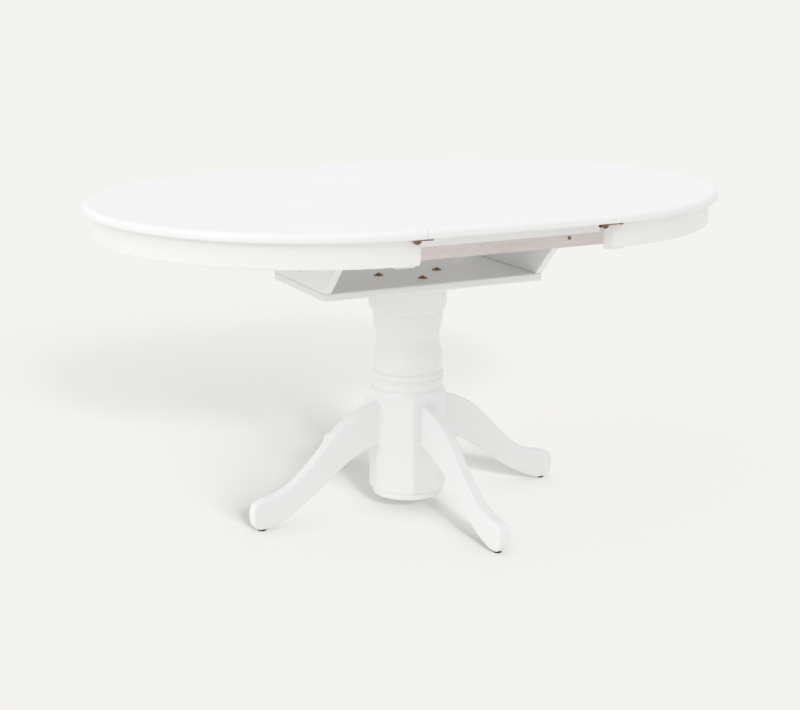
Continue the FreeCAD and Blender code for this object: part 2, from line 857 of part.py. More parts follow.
def foot_glides():
    """Nail-in glides, one under each toe."""
    pad = Part.makeCylinder(value("pad_radius"), value("pad_height"))
    pad = pad.makeChamfer(1, [edge for edge in pad.Edges if edge.BoundBox.ZMax < 0.01])
    nail = Part.makeCylinder(
        GLIDE_NAIL_RADIUS - 0.05, GLIDE_NAIL_LENGTH - 1, spot(0, 0, value("pad_height"))
    )
    fasteners("foot_glides", pad.fuse(nail), around(value("pad_reach"), 0))


# ---------------------------------------------------------------- leaf locks
# Each lock hangs under the overhang of a half top. Its arm crosses the seam and hooks a pin
# under the leaf when it is swung in. The table is drawn with the locks swung out, clear of
# their pins. Distances run along the arm: the pivot's from the seam, the rest from the pivot.
SHORT_LOCK = {"pivot": 24.0, "tab": 7.0, "pin": 32.0, "swing": 12.0}
LONG_LOCK = {"pivot": 22.0, "tab": 39.0, "pin": 51.5, "swing": 7.6}
LOCKS = {
    "front_left": (SHORT_LOCK, -1, 0),
    "front_right": (LONG_LOCK, 1, 0),
    "back_right": (SHORT_LOCK, -1, 180),
    "back_left": (LONG_LOCK, 1, 180),
}
PLATE_BOTTOM = value(f"{UNDERSIDE} - lock_plate_thickness")
ARM_TOP = PLATE_BOTTOM - 0.2
ARM_BOTTOM = ARM_TOP - value("lock_arm_thickness")
BOSS_BOTTOM = ARM_TOP - 2.2
RIVET_TOP = BOSS_BOTTOM - 0.3
BARE_PIN_BOTTOM = ARM_BOTTOM - 0.8
CAPPED_PIN_BOTTOM = ARM_BOTTOM - 2.1
CAP_TOP = ARM_BOTTOM - 0.7


def upright(radius, low, high, x=0.0, y=0.0):
    return Part.makeCylinder(radius, high - low, spot(x, y, low))


def lock_plate():
    """Round plate under the top with the pin that the arm turns on."""
    plate = upright(value("lock_plate_radius"), PLATE_BOTTOM, value(UNDERSIDE))
    pin = upright(value("lock_pin_radius"), RIVET_TOP, PLATE_BOTTOM)
    rivet = upright(value("lock_pin_radius") + 0.8, RIVET_TOP - 0.7, RIVET_TOP)
    return plate.fuse([pin, rivet])


def lock_lever(kind):
    """Arm along +X from its pivot, hooked at its end, with a half-round thumb tab bent down from it."""
    half_width = value("lock_arm_width / 2")
    thickness = value("lock_arm_thickness")
    catch = value("lock_pin_radius") + 0.6
    length = kind["pin"] + catch + 3.4
    strip = Part.makeBox(length, 2 * half_width, thickness, spot(0, -half_width, ARM_BOTTOM))
    boss = upright(half_width + 0.5, BOSS_BOTTOM, ARM_TOP)
    tab_thickness, tab_radius = value("lock_tab_thickness"), value("lock_tab_radius")
    near = half_width - 0.6
    disc = Part.makeCylinder(tab_radius, tab_thickness, spot(kind["tab"], near, ARM_BOTTOM), spot(0, 1, 0))
    depth = tab_radius + thickness
    below = Part.makeBox(
        2 * tab_radius, tab_thickness, depth, spot(kind["tab"] - tab_radius, near, ARM_TOP - depth)
    )
    mouth = Part.makeBox(2 * catch, half_width + 1, thickness, spot(kind["pin"] - catch, 0, ARM_BOTTOM))
    mouth_end = upright(catch, ARM_BOTTOM, ARM_TOP, kind["pin"])
    pivot_hole = upright(value("lock_pin_radius") + 0.08, BOSS_BOTTOM, ARM_TOP)
    return strip.fuse([boss, disc.common(below)]).cut([mouth, mouth_end, pivot_hole])


def lock_keeper(pin_bottom):
    """Small plate under the leaf with the pin that the arm hooks."""
    base = upright(value("lock_plate_radius") - 1, PLATE_BOTTOM, value(UNDERSIDE))
    return base.fuse(upright(value("lock_pin_radius"), pin_bottom, PLATE_BOTTOM))


def lock_cap():
    """Plastic cap pushed on a keeper's pin from below."""
    width, height = value("lock_cap_width"), value("lock_cap_height")
    cap = Part.makeBox(width, width, height, spot(-width / 2, -width / 2, CAP_TOP - height))
    cap = cap.makeFillet(0.8, cap.Edges)
    return cap.cut(upright(value("lock_pin_radius") + 0.08, CAPPED_PIN_BOTTOM - 0.1, CAP_TOP))


def lock(name, kind, seam, facing):
    """Place one lock's pieces; its arm points from the half top, across the seam, to the leaf."""
    pivot = spot(seam * (SEAM + kind["pivot"]), -value("lock_reach"), 0)
    pin = pivot - spot(seam * kind["pin"], 0, 0)
    lever = lock_lever(kind)
    if seam > 0:
        lever = lever.mirror(spot(0, 0, 0), spot(1, 0, 0))
    pin_bottom = CAPPED_PIN_BOTTOM if kind is LONG_LOCK else BARE_PIN_BOTTOM
    pieces = {
        f"lock_plate_{name}": (lock_plate(), pivot, 0),
        f"lock_lever_{name}": (lever, pivot, seam * kind["swing"]),
        f"lock_keeper_{name}": (lock_keeper(pin_bottom), pin, 0),
    }
    if kind is LONG_LOCK:
        pieces[f"lock_cap_{name}"] = (lock_cap(), pin, 0)
    up = FreeCAD.Vector(0, 0, 1)
    for label, (shape, point, swing) in pieces.items():
        feature = doc.addObject("Part::Feature", label)
        feature.Shape = shape.removeSplitter()
        whole_turn = FreeCAD.Placement(spot(0, 0, 0), FreeCAD.Rotation(up, facing))
        feature.Placement = whole_turn.multiply(FreeCAD.Placement(point, FreeCAD.Rotation(up, swing)))
        keep(label, feature)


# ---------------------------------------------------------------- the table
column()
for place_name, direction in LEG_DIRECTIONS.items():
    leg(place_name, direction)
leg_fasteners()
foot_glides()
trough_board()
board_bolts()
for place_name, direction in (("left", -1), ("right", 1)):
    trough_end(place_name, direction)
trough_screws()
for place_name, facing in (("front", 0), ("back", 180)):
    fixed_rail(place_name, facing)
    leaf_half(place_name, facing)
    hinge_barrels(place_name, facing)
rail_screws()
slide_stops()
for side in HALVES:
    half_top(side)
    apron(side)
    end_blocks(side)
    glue_blocks(side)
    for where in ("outer", "inner"):
        slide(side, where)
    slide_screws(side)
for name, (kind, seam, facing) in LOCKS.items():
    lock(name, kind, seam, facing)

# ---------------------------------------------------------------- check and write
doc.recompute()
for thing in doc.Objects:
    if "Invalid" in thing.State or "Error" in thing.State:
        raise RuntimeError(f"{thing.Label} failed: {thing.State}")
os.makedirs("parts", exist_ok=True)
for label, thing in NODES.items():
    if thing.Shape.isNull() or not thing.Shape.isValid() or not thing.Shape.Solids:
        raise RuntimeError(f"{label} has no sound shape")
    thing.Shape.exportStep(f"parts/{label}.step")
print(f"{len(NODES)} nodes written")
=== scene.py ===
"""The extending pedestal table's looks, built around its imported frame.

Shapes are worked out in millimetres, in the frame's own axes, and become metres when a piece
is made. A piece that repeats a CAD node's shape takes its place and size from that node's box.
"""

import json
import math

import bmesh
import bpy
import numpy as np
from mathutils import Matrix, Vector

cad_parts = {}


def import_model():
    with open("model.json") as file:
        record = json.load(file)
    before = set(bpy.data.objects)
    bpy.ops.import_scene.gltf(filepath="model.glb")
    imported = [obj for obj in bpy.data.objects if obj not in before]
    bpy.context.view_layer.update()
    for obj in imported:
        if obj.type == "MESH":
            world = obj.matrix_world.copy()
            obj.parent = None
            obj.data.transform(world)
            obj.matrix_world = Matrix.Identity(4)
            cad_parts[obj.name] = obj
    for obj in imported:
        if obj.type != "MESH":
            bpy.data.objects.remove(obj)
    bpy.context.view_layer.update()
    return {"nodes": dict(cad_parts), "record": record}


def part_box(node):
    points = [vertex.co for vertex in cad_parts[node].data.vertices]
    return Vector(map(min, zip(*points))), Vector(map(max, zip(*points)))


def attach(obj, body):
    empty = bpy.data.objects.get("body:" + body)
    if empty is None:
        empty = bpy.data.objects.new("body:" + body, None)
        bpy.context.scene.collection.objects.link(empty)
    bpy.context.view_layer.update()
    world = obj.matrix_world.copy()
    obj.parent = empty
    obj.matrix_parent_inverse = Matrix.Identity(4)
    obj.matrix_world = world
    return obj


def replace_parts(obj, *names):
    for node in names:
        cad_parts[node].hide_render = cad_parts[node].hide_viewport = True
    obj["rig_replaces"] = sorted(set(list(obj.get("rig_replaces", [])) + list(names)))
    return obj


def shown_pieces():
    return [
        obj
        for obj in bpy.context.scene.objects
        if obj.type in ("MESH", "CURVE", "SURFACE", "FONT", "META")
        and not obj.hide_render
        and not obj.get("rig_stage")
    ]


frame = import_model()

MM = 0.001
SLOT_OF = {row["node"]: row["material_slot"] for row in frame["record"]["subparts"]}


def box_mm(node):
    """A CAD node's lowest and highest corners, in millimetres."""
    low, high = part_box(node)
    return low / MM, high / MM


# ---------------------------------------------------------------- shared sizes, in millimetres
TOP_LOW, TOP_HIGH = box_mm("top_right")
UNDERSIDE = TOP_LOW.z
TOP_LEVEL = TOP_HIGH.z
RADIUS = TOP_HIGH.y
SEAM = TOP_LOW.x
SEAM_CLOSING = 0.15
TOP_SEAM_EASE = 1.5
LEAF_SEAM_EASE = 0.5
RIM_TOP_ROUND = 11
RIM_BOTTOM_ROUND = 5
APRON_SETBACK = 20
APRON_THICKNESS = 22
APRON_END_ANGLE = 0.8
APRON_OUTER = RADIUS - APRON_SETBACK
APRON_INNER = APRON_OUTER - APRON_THICKNESS
END_BLOCK_THICKNESS = 14
GROOVE_LEVEL = 710
GROOVE_HALF_HEIGHT = 5
GROOVE_DEPTH = 8
TONGUE_HALF_HEIGHT = GROOVE_HALF_HEIGHT - 0.4
SLIDE_THICKNESS = 22
PEDESTAL_TURN = 4
OCTAGON_RADIUS = 93.5
OCTAGON_APOTHEM = OCTAGON_RADIUS * math.cos(math.radians(22.5))
TROUGH_SHOULDER = 228
HALF_TURN = {"right": 0, "left": 180}


# ---------------------------------------------------------------- outlines
def arc(centre, radius, first, last, steps=8):
    """Points on an arc, by angle in degrees."""
    angles = np.radians(np.linspace(first, last, steps + 1))
    return [(centre[0] + radius * math.cos(a), centre[1] + radius * math.sin(a)) for a in angles]


def rim_profile():
    """The rim's section from the top face to the underside, as (distance out, height)."""
    upper = arc((RADIUS - RIM_TOP_ROUND, TOP_LEVEL - RIM_TOP_ROUND), RIM_TOP_ROUND, 90, 0, 12)
    lower = arc((RADIUS - RIM_BOTTOM_ROUND, UNDERSIDE + RIM_BOTTOM_ROUND), RIM_BOTTOM_ROUND, 0, -90, 8)
    return upper + lower


def bowed_path(corners, step=0.5):
    """Points along straight and bowed edges; a third number bows an edge to its right."""
    path = []
    for (x, y, *bow), following in zip(corners, corners[1:]):
        start, end = Vector((x, y)), Vector(following[:2])
        chord = end - start
        count = max(1, round(chord.length / step))
        radius = bow[0] if bow else 0
        side = Vector((chord.y, -chord.x)).normalized() * math.copysign(1, radius)
        depth = math.sqrt(max(radius**2 - (chord.length / 2) ** 2, 0))
        for share in np.arange(count) / count:
            along = (share - 0.5) * chord.length
            rise = math.sqrt(max(radius**2 - along**2, depth**2)) - depth if bow else 0
            path.append(tuple(start + chord * share + side * rise))
    path.append(tuple(corners[-1][:2]))
    return path


def softened(path, reach):
    """Round a path's corners by averaging each point with its neighbours; the ends stay."""
    points = np.array(path)
    padded = np.concatenate([points[:1].repeat(reach, 0), points, points[-1:].repeat(reach, 0)])
    kernel = np.hanning(2 * reach + 3)[1:-1]
    kernel /= kernel.sum()
    smooth = np.stack([np.convolve(padded[:, i], kernel, "valid") for i in (0, 1)], 1)
    smooth[0], smooth[-1] = points[0], points[-1]
    return smooth


def thinned(points, bend=2.5, longest=14.0):
    """Drop points where a path hardly turns."""
    kept = [points[0]]
    turned = 0.0
    for before, here, after in zip(points, points[1:], points[2:]):
        way_in, way_out = here - before, after - here
        cross = way_in[0] * way_out[1] - way_in[1] * way_out[0]
        turned += abs(math.degrees(math.atan2(cross, float(way_in @ way_out))))
        if turned > bend or np.linalg.norm(here - kept[-1]) > longest:
            kept.append(here)
            turned = 0.0
    kept.append(points[-1])
    return kept


def spline(points, step=4.0):
    """A smooth curve through all the points, centripetal so that it never loops."""
    ends = [2 * Vector(points[0]) - Vector(points[1]), 2 * Vector(points[-1]) - Vector(points[-2])]
    held = [ends[0], *map(Vector, points), ends[1]]
    curve = []
    for p0, p1, p2, p3 in zip(held, held[1:], held[2:], held[3:]):
        t1 = (p1 - p0).length ** 0.5
        t2 = t1 + (p2 - p1).length ** 0.5
        t3 = t2 + (p3 - p2).length ** 0.5
        count = max(2, round((p2 - p1).length / step))
        for t in np.linspace(t1, t2, count, endpoint=False):
            a1 = p0.lerp(p1, t / t1)
            a2 = p1.lerp(p2, (t - t1) / (t2 - t1))
            a3 = p2.lerp(p3, (t - t2) / (t3 - t2))
            b1 = a1.lerp(a2, t / t2)
            b2 = a2.lerp(a3, (t - t1) / (t3 - t1))
            curve.append(tuple(b1.lerp(b2, (t - t1) / (t2 - t1))))
    return curve


# ---------------------------------------------------------------- meshes
def net(bm, rows, closed=False):
    """Join rows of vertices with four-sided faces; closed joins each row's ends too."""
    for row, following in zip(rows, rows[1:]):
        count = len(row) if closed else len(row) - 1
        for i in range(count):
            j = (i + 1) % len(row)
            bm.faces.new((row[i], row[j], following[j], following[i]))


def prism(outline, start, end, along="x"):
    """A closed outline swept straight along X (outline in Y, Z) or Z (outline in X, Y)."""
    bm = bmesh.new()
    order = {"x": lambda p, t: (t, *p), "z": lambda p, t: (*p, t)}[along]
    rows = [[bm.verts.new(order(p, t)) for p in outline] for t in (start, end)]
    net(bm, rows, closed=True)
    bm.faces.new(rows[0])
    bm.faces.new(rows[1])
    return bm


def eased(bm, width, segments=3, keep=lambda edge: True):
    """Round the sharp edges of a mesh that a test lets through."""
    bmesh.ops.recalc_face_normals(bm, faces=bm.faces)
    sharp = [e for e in bm.edges if e.calc_face_angle(0) > math.radians(30) and keep(e)]
    bmesh.ops.bevel(
        bm, geom=sharp, offset=width, segments=segments, profile=0.5, affect="EDGES", clamp_overlap=True
    )
    return bm


def add_piece(name, bm, material, body, nodes, turn=0, sharp=50):
    """Make a finished piece: it rides on a body and stands for CAD nodes."""
    bmesh.ops.recalc_face_normals(bm, faces=bm.faces)
    bm.transform(Matrix.Rotation(math.radians(turn), 4, "Z") @ Matrix.Scale(MM, 4))
    mesh = bpy.data.meshes.new(name)
    bm.to_mesh(mesh)
    bm.free()
    mesh.materials.append(material)
    mesh.shade_smooth()
    mesh.set_sharp_from_angle(angle=math.radians(sharp))
    thing = bpy.data.objects.new(name, mesh)
    bpy.context.scene.collection.objects.link(thing)
    flatter = thing.modifiers.new("flat_faces_stay_flat", "WEIGHTED_NORMAL")
    flatter.keep_sharp = True
    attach(thing, body)
    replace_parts(thing, *nodes)
    return thing


# ---------------------------------------------------------------- materials
def node(tree, kind, feeds=None, **settings):
    """Add a shader node; each feed is a number, a colour or another node's output."""
    made = tree.nodes.new(kind)
    for name, setting in settings.items():
        setattr(made, name, setting)
    for name, feed in (feeds or {}).items():
        if isinstance(feed, bpy.types.NodeSocket):
            tree.links.new(feed, made.inputs[name])
        else:
            made.inputs[name].default_value = feed
    return made


def empty_material(name):
    """A new material's tree and its main shader."""
    material = bpy.data.materials.new(name)
    material.use_nodes = True
    return material, material.node_tree, material.node_tree.nodes["Principled BSDF"]


def stretched(tree, scale):
    """Object coordinates, scaled along each axis in features per metre."""
    place = node(tree, "ShaderNodeTexCoord")
    return node(tree, "ShaderNodeMapping", {"Vector": place.outputs["Object"], "Scale": scale}).outputs[0]


def noise(tree, vector, scale=1.0, detail=3.0, roughness=0.5):
    feeds = {"Vector": vector, "Scale": scale, "Detail": detail, "Roughness": roughness}
    return node(tree, "ShaderNodeTexNoise", feeds).outputs["Fac"]


def ramp(tree, feed, *stops):
    """A colour ramp with stops of (position, colour)."""
    made = node(tree, "ShaderNodeValToRGB", {"Fac": feed})
    elements = made.color_ramp.elements
    while len(elements) < len(stops):
        elements.new(0.5)
    for element, (position, colour) in zip(elements, stops):
        element.position = position
        element.color = (*colour, 1)
    return made.outputs["Color"]


def multiplied(tree, first, second):
    """Two colours multiplied."""
    mix = node(tree, "ShaderNodeMix", data_type="RGBA", blend_type="MULTIPLY")
    mix.inputs["Factor"].default_value = 1.0
    colours = [socket for socket in mix.inputs if socket.type == "RGBA"]
    tree.links.new(first, colours[0])
    tree.links.new(second, colours[1])
    return next(socket for socket in mix.outputs if socket.type == "RGBA")


def spread(tree, feed, low, high):
    """Map a feed from 0..1 onto a range."""
    feeds = {"Value": feed, "To Min": low, "To Max": high}
    return node(tree, "ShaderNodeMapRange", feeds).outputs["Result"]


def bump(tree, height, distance, strength=1.0, normal=None):
    feeds = {"Height": height, "Distance": distance, "Strength": strength}
    if normal is not None:
        feeds["Normal"] = normal
    return node(tree, "ShaderNodeBump", feeds).outputs["Normal"]


EVENLY = (1, 1, 1)


def grain_scale(along, fine, coarse):
    """Texture scale that runs long along one axis and fine across it."""
    return tuple(coarse if axis == along else fine for axis in "xyz")


def painted_wood(along):
    """White satin paint over wood: faint grain, a sprayed surface, a little wear of tone."""
    material, tree, shader = empty_material(f"painted_wood_{along}")
    grain = noise(tree, stretched(tree, grain_scale(along, 170, 5)), detail=5, roughness=0.6)
    spray = noise(tree, stretched(tree, EVENLY), scale=420, detail=2)
    cloud = noise(tree, stretched(tree, EVENLY), scale=4.5, detail=4)
    shader.inputs["Specular IOR Level"].default_value = 0.4
    colour = ramp(tree, cloud, (0.3, (0.868, 0.868, 0.869)), (0.7, (0.882, 0.882, 0.883)))
    tree.links.new(colour, shader.inputs["Base Color"])
    tree.links.new(spread(tree, cloud, 0.42, 0.5), shader.inputs["Roughness"])
    surface = bump(tree, grain, 0.00006, 0.5)
    surface = bump(tree, spray, 0.00002, 0.4, surface)
    tree.links.new(surface, shader.inputs["Normal"])
    return material


def raw_wood(along):
    """Bare sanded hardwood: pinkish, with soft streaks and short dark pores."""
    material, tree, shader = empty_material(f"raw_wood_{along}")
    streak = noise(tree, stretched(tree, grain_scale(along, 120, 3)), detail=6, roughness=0.6)
    pores = noise(tree, stretched(tree, grain_scale(along, 1400, 55)), detail=2)
    blotch = noise(tree, stretched(tree, grain_scale(along, 14, 5)), detail=2)
    base = ramp(
        tree, streak, (0.25, (0.70, 0.635, 0.625)), (0.5, (0.76, 0.70, 0.695)), (0.75, (0.80, 0.75, 0.745))
    )
    dark = ramp(tree, pores, (0.60, (1, 1, 1)), (0.70, (0.80, 0.74, 0.71)))
    wide = ramp(tree, blotch, (0.3, (0.94, 0.93, 0.92)), (0.7, (1, 1, 1)))
    for layer in (dark, wide):
        base = multiplied(tree, base, layer)
    tree.links.new(base, shader.inputs["Base Color"])
    shader.inputs["Roughness"].default_value = 0.68
    surface = bump(tree, streak, 0.00015, 0.4)
    tree.links.new(bump(tree, pores, 0.0001, 0.3, surface), shader.inputs["Normal"])
    return material


def metal(name, dark, light, roughness, scale=260.0):
    """Plain metal with a slightly uneven tone and finish."""
    material, tree, shader = empty_material(name)
    mottle = noise(tree, stretched(tree, EVENLY), scale=scale, detail=4)
    tree.links.new(ramp(tree, mottle, (0.3, dark), (0.7, light)), shader.inputs["Base Color"])
    tree.links.new(spread(tree, mottle, roughness - 0.06, roughness + 0.08), shader.inputs["Roughness"])
    shader.inputs["Metallic"].default_value = 1.0
    tree.links.new(bump(tree, mottle, 0.00003, 0.3), shader.inputs["Normal"])
    return material


def moulded_plastic():
    """Black moulded plastic with a fine matte skin."""
    material, tree, shader = empty_material("black_plastic")
    skin = noise(tree, stretched(tree, EVENLY), scale=2200, detail=2)
    tree.links.new(ramp(tree, skin, (0.3, (0.010, 0.010, 0.010)), (0.7, (0.022, 0.021, 0.020))),
                   shader.inputs["Base Color"])
    shader.inputs["Roughness"].default_value = 0.55
    tree.links.new(bump(tree, skin, 0.00004, 0.5), shader.inputs["Normal"])
    return material


PAINT = {along: painted_wood(along) for along in "xyz"}
RAW = {along: raw_wood(along) for along in "xz"}
FINISH = {
    "painted_wood": PAINT["x"],
    "raw_wood": RAW["z"],
    "bronze": metal("bronze", (0.12, 0.065, 0.035), (0.42, 0.25, 0.13), 0.42),
    "zinc_steel": metal("zinc_steel", (0.50, 0.51, 0.52), (0.63, 0.63, 0.62), 0.34),
    "brass_insert": metal("brass_insert", (0.62, 0.46, 0.20), (0.74, 0.57, 0.28), 0.3),
    "black_plastic": moulded_plastic(),
}


# ---------------------------------------------------------------- tops and leaf
def half_top(side):
    """Half disc with a rolled rim, its seam edges just eased."""
    bm = bmesh.new()
    rows = []
    seam = SEAM - SEAM_CLOSING
    for angle in np.radians(np.linspace(-90, 90, 145)):
        out = Vector((math.cos(angle), math.sin(angle)))
        rows.append([bm.verts.new((seam + r * out.x, r * out.y, z)) for r, z in rim_profile()])
    net(bm, rows)
    bm.faces.new([row[0] for row in rows])
    bm.faces.new([row[-1] for row in rows])
    bm.faces.new(rows[0] + rows[-1][::-1])
    eased(bm, TOP_SEAM_EASE, 3, lambda edge: all(abs(v.co.x - seam) < 0.01 for v in edge.verts))
    add_piece(f"half_top_{side}", bm, PAINT["x"], f"{side}_half", [f"top_{side}"], HALF_TURN[side])


def leaf_half(where, turn):
    """Half of the leaf; only its seam edges are eased, so the fold line stays a hairline."""
    low, high = box_mm("leaf_front")
    fold = high.y
    outline = [(-y, z) for y, z in rim_profile()] + [(fold, UNDERSIDE), (fold, TOP_LEVEL)]
    bm = prism(outline, low.x - SEAM_CLOSING, high.x + SEAM_CLOSING)
    eased(
        bm, LEAF_SEAM_EASE, 3,
        lambda edge: abs(edge.verts[0].co.x - edge.verts[1].co.x) < 0.01
        and any(v.co.y < fold - 0.01 for v in edge.verts),
    )
    add_piece(f"leaf_half_{where}", bm, PAINT["y"], f"{where}_leaf", [f"leaf_{where}"], turn)


def apron(side):
    """Bent apron: a band with rounded lower edges and rounded lower corners at its ends."""
    low, _ = box_mm("apron_right")
    edge_round = 2.5
    corner_round = 6.0
    section = (
        [(APRON_OUTER, UNDERSIDE)]
        + arc((APRON_OUTER - edge_round, low.z + edge_round), edge_round, 0, -90, 4)
        + arc((APRON_INNER + edge_round, low.z + edge_round), edge_round, -90, -180, 4)
        + [(APRON_INNER, UNDERSIDE)]
    )
    steps = [corner_round * (1 - math.cos(math.radians(a))) for a in range(0, 91, 15)]
    limit = 90 - APRON_END_ANGLE
    near_end = [math.degrees(step / APRON_OUTER) for step in steps]
    angles = [-limit + a for a in near_end]
    angles += list(np.linspace(-limit + near_end[-1], limit - near_end[-1], 121)[1:-1])
    angles += [limit - a for a in near_end[::-1]]
    bm = bmesh.new()
    rows = []
    for angle in angles:
        from_end = min(math.radians(limit - abs(angle)) * APRON_OUTER, corner_round)
        lift = corner_round - math.sqrt(corner_round**2 - (corner_round - from_end) ** 2)
        x, y = math.cos(math.radians(angle)), math.sin(math.radians(angle))
        lifted = [(r, z + lift if z < UNDERSIDE - 1 else z) for r, z in section]
        rows.append([bm.verts.new((SEAM + r * x, r * y, z)) for r, z in lifted])
    net(bm, rows, closed=True)
    caps = [bm.faces.new(rows[0]), bm.faces.new(rows[-1])]
    cap_edges = {edge for cap in caps for edge in cap.edges}
    eased(bm, 1.0, 2, lambda edge: edge in cap_edges)
    add_piece(f"bent_apron_{side}", bm, PAINT["x"], f"{side}_half", [f"apron_{side}"], HALF_TURN[side])


def end_blocks(side):
    """The blocks behind the apron's ends, curved to its inner face."""
    low, high = box_mm("apron_end_blocks_right")
    inner = high.y - END_BLOCK_THICKNESS
    both = bmesh.new()
    for facing in (-1, 1):
        curve = [
            (x, facing * math.sqrt(APRON_INNER**2 - (x - SEAM) ** 2))
            for x in np.linspace(low.x, high.x, 9)
        ]
        block = prism(curve + [(high.x, facing * inner), (low.x, facing * inner)], low.z, UNDERSIDE, "z")
        eased(block, 2.0, 3)
        part = bpy.data.meshes.new("block")
        block.to_mesh(part)
        block.free()
        both.from_mesh(part)
        bpy.data.meshes.remove(part)
    add_piece(
        f"end_blocks_{side}", both, PAINT["z"], f"{side}_half", [f"apron_end_blocks_{side}"], HALF_TURN[side]
    )


# ---------------------------------------------------------------- rails and slides
def groove(y, way):
    """A groove's corners in a rail's face at y, which looks towards way."""
    low, high = GROOVE_LEVEL - GROOVE_HALF_HEIGHT, GROOVE_LEVEL + GROOVE_HALF_HEIGHT
    floor = y - way * GROOVE_DEPTH
    return [(y, low), (floor, low), (floor, high), (y, high)]


def fixed_rail(where, turn):
    """Raw wood rail with a groove along each face."""
    low, high = box_mm("rail_front")
    outline = (
        [(high.y, low.z)] + groove(high.y, 1) + [(high.y, high.z), (low.y, high.z)]
        + groove(low.y, -1)[::-1] + [(low.y, low.z)]
    )
    bm = eased(prism(outline, low.x, high.x), 1.0, 2)
    add_piece(f"fixed_rail_{where}", bm, RAW["x"], "pedestal", [f"rail_{where}"], turn)


def moving_slide(side, where):
    """White bar with a tongue that runs in a rail's groove."""
    low, high = box_mm(f"slide_right_{where}")
    face = low.y + SLIDE_THICKNESS
    under, over = GROOVE_LEVEL - TONGUE_HALF_HEIGHT, GROOVE_LEVEL + TONGUE_HALF_HEIGHT
    outline = [
        (low.y, low.z), (face, low.z), (face, under), (high.y, under),
        (high.y, over), (face, over), (face, UNDERSIDE), (low.y, UNDERSIDE),
    ]
    bm = eased(prism(outline, low.x, high.x), 1.4, 3)
    add_piece(
        f"slide_bar_{side}_{where}", bm, PAINT["x"], f"{side}_half", [f"slide_{side}_{where}"],
        HALF_TURN[side],
    )


# ---------------------------------------------------------------- trough
def trough_board():
    low, high = box_mm("trough_board")
    outline = [(low.y, low.z), (high.y, low.z), (high.y, high.z), (low.y, high.z)]
    bm = eased(prism(outline, low.x, high.x), 4.0, 5)
    add_piece("storage_board", bm, PAINT["x"], "pedestal", ["trough_board"])


def trough_end(side):
    """Trapezoid end panel with an ear at each side that meets the rail."""
    low, high = box_mm(f"trough_end_{side}")
    _, board = box_mm("trough_board")
    rail, _ = box_mm("rail_front")
    outline = [
        (-board.y, low.z), (board.y, low.z), (TROUGH_SHOULDER, rail.z), (high.y, rail.z),
        (high.y, high.z), (low.y, high.z), (low.y, rail.z), (-TROUGH_SHOULDER, rail.z),
    ]
    bm = eased(prism(outline, low.x, high.x), 2.6, 4)
    add_piece(f"end_panel_{side}", bm, PAINT["y"], "pedestal", [f"trough_end_{side}"])


# ---------------------------------------------------------------- column
COLUMN_BOTTOM = 32
BORE_RADIUS = 45
BORE_TOP = 270
COLUMN_TURNING = [
    (BORE_RADIUS, COLUMN_BOTTOM), (80, COLUMN_BOTTOM, 4), (84, 36), (84, 47), (82.5, 48),
    (84, 48, 13), (97, 60), (97, 262, 80), (84, 294), (82, 294), (83, 295.5), (83, 311),
    (81.5, 312.5), (83, 314, 2.2), (83, 318), (81, 319.5, 8.5), (80.5, 334), (78.4, 335.5, 120),
    (77.9, 388, -80), (75.5, 430), (78.2, 432.5), (79, 444.5), (80.6, 446), (82.2, 452),
    (82.2, 475), (81, 477), (82, 478.5, 34), (97, 507), (97, 547),
]


def soft_least(values, blend):
    """The least of some numbers, with the change from one to another rounded off."""
    least = values[0]
    for other in values[1:]:
        closeness = max(blend - abs(least - other), 0) / blend
        least = min(least, other) - closeness**2 * blend / 4
    return least


def octagon_reach(angle):
    """Distance from the axis to a rounded octagon, whose flats face 0, 45, 90... degrees."""
    off = (angle + 22.5) % 45 - 22.5
    nearest = OCTAGON_APOTHEM / math.cos(math.radians(off))
    neighbour = OCTAGON_APOTHEM / math.cos(math.radians(45 - abs(off)))
    return soft_least([nearest, neighbour], 2.2)


def column():
    """Turned column cut to an octagon at its head and foot, hollow at the foot."""
    profile = thinned(softened(bowed_path(COLUMN_TURNING), 3))
    angles = np.arange(0, 360, 1.25)
    flats = [octagon_reach(angle) for angle in angles]
    ways = [(math.cos(a), math.sin(a)) for a in np.radians(angles)]
    bm = bmesh.new()
    rows = [
        [bm.verts.new((BORE_RADIUS * x, BORE_RADIUS * y, z)) for x, y in ways]
        for z in (BORE_TOP, COLUMN_BOTTOM)
    ]
    for radius, height in profile[1:]:
        reach = [soft_least([radius, flat], 2.5) for flat in flats]
        rows.append([bm.verts.new((r * x, r * y, height)) for r, (x, y) in zip(reach, ways)])
    net(bm, rows, closed=True)
    bm.faces.new(rows[0])
    bm.faces.new(rows[-1])
    add_piece("turned_column", bm, PAINT["z"], "pedestal", ["column"], PEDESTAL_TURN)


# ---------------------------------------------------------------- legs
LEG_ROOT = OCTAGON_APOTHEM
LEG_TOP = [
    (LEG_ROOT, 264), (120, 256), (161, 238), (202, 206), (257, 148), (314, 100), (352, 82), (394, 72),
]
LEG_UNDER = [(372, 5), (345, 15), (318, 28), (272, 56), (222, 92), (165, 132), (121, 152), (LEG_ROOT, 163)]
TOE = [(394, 72), (408.5, 65), (415, 50), (415, 30), (410, 12.5), (398, 5)]
LEG_THICKNESS = 28
LEG_EASE = 5.0
HIDDEN_ROOT = 6


def leg_outline():
    """The leg's side view, run a little way into the column so that its root is hidden."""
    root = LEG_ROOT - HIDDEN_ROOT
    path = [(root, LEG_TOP[0][1]), *spline(LEG_TOP), *spline(TOE, 2.0), TOE[-1]]
    path += [*spline(LEG_UNDER), LEG_UNDER[-1], (root, LEG_UNDER[-1][1])]
    return [Vector(p) for p in path]


